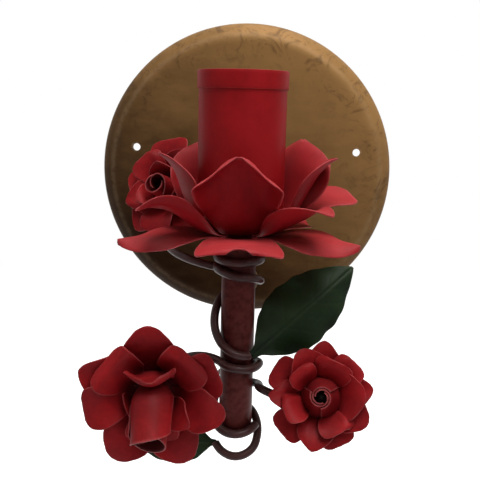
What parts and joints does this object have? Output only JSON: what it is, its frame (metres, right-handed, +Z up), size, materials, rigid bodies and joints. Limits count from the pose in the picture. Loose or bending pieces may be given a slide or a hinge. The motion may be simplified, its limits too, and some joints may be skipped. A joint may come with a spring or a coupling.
{
  "type": "wall sconce",
  "caption": "Wall sconce: round dished wall plate, hollow arm and stem, a petalled metal flower round a candle sleeve over a lamp holder, with roses and leaves on wire.",
  "frame": {"origin": "centre of the wall plate, on the wall", "axes": "+X to the right seen from the room, +Y into the wall, +Z up along the stem and the lamp"},
  "size_m": [0.2, 0.165, 0.2729],
  "materials": {
    "bronze_paint": "antique bronze paint over a lightly hammered sheet",
    "rose_red": "satin red paint, darker in the folds",
    "candle_red": "satin red paint",
    "stem_maroon": "dark maroon paint, worn lighter along its edges",
    "vine_brown": "dark brown paint over drawn wire",
    "leaf_green": "dark green satin paint",
    "zinc_steel": "bright zinc plating",
    "brass": "plain turned brass",
    "black_holder": "matt black phenolic",
    "steatite": "unglazed steatite",
    "clear_nylon": "milky nylon",
    "brown_core": "extruded insulation",
    "blue_core": "extruded insulation"
  },
  "bodies": {
    "root": {"arm_collar": "bronze_paint", "arm_nut": "zinc_steel", "arm_tube": "bronze_paint", "back_rose_bud": "rose_red", "back_rose_inner": "rose_red", "back_rose_outer": "rose_red", "back_rose_second": "rose_red", "block_screw": "zinc_steel", "contact_foot": "brass", "earth_ring": "brass", "earth_screw": "brass", "flower_petals_lower": "rose_red", "flower_petals_middle": "rose_red", "flower_petals_upper": "rose_red", "flower_spacer": "stem_maroon", "holder_cap": "black_holder", "holder_insert": "steatite", "holder_shell": "black_holder", "holder_terminal_screws": "brass", "holder_terminals": "brass", "lamp_thread": "brass", "leaf_large": "leaf_green", "leaf_small": "leaf_green", "left_rose_bud": "rose_red", "left_rose_inner": "rose_red", "left_rose_outer": "rose_red", "left_rose_second": "rose_red", "live_wire": "brown_core", "neutral_wire": "blue_core", "nipple": "zinc_steel", "nipple_nuts": "zinc_steel", "right_rose_bud": "rose_red", "right_rose_inner": "rose_red", "right_rose_outer": "rose_red", "right_rose_second": "rose_red", "sleeve_seat": "stem_maroon", "stem_plug": "zinc_steel", "stem_tube": "stem_maroon", "terminal_bar": "zinc_steel", "terminal_block": "clear_nylon", "terminal_clamps": "brass", "terminal_screws": "zinc_steel", "vine_back_rose": "vine_brown", "vine_leaf": "vine_brown", "vine_left_rose": "vine_brown", "vine_right_rose": "vine_brown", "vine_upper": "vine_brown", "wall_plate": "bronze_paint"},
    "sleeve": {"candle_sleeve": "candle_red", "sleeve_band": "candle_red"},
    "contact": {"centre_contact": "brass"}
  },
  "joints": [
    {"name": "sleeve_lift", "type": "slide", "parent": "root", "child": "sleeve", "axis": [0, 0, 1], "range_m": [0, 0.075]},
    {"name": "contact_press", "type": "hinge", "parent": "root", "child": "contact", "pos_m": [-0.007, -0.095, 0.0344], "axis": [0, 1, 0], "range_deg": [0, 10], "stiffness_Nm_per_rad": 0.1}
  ]
}
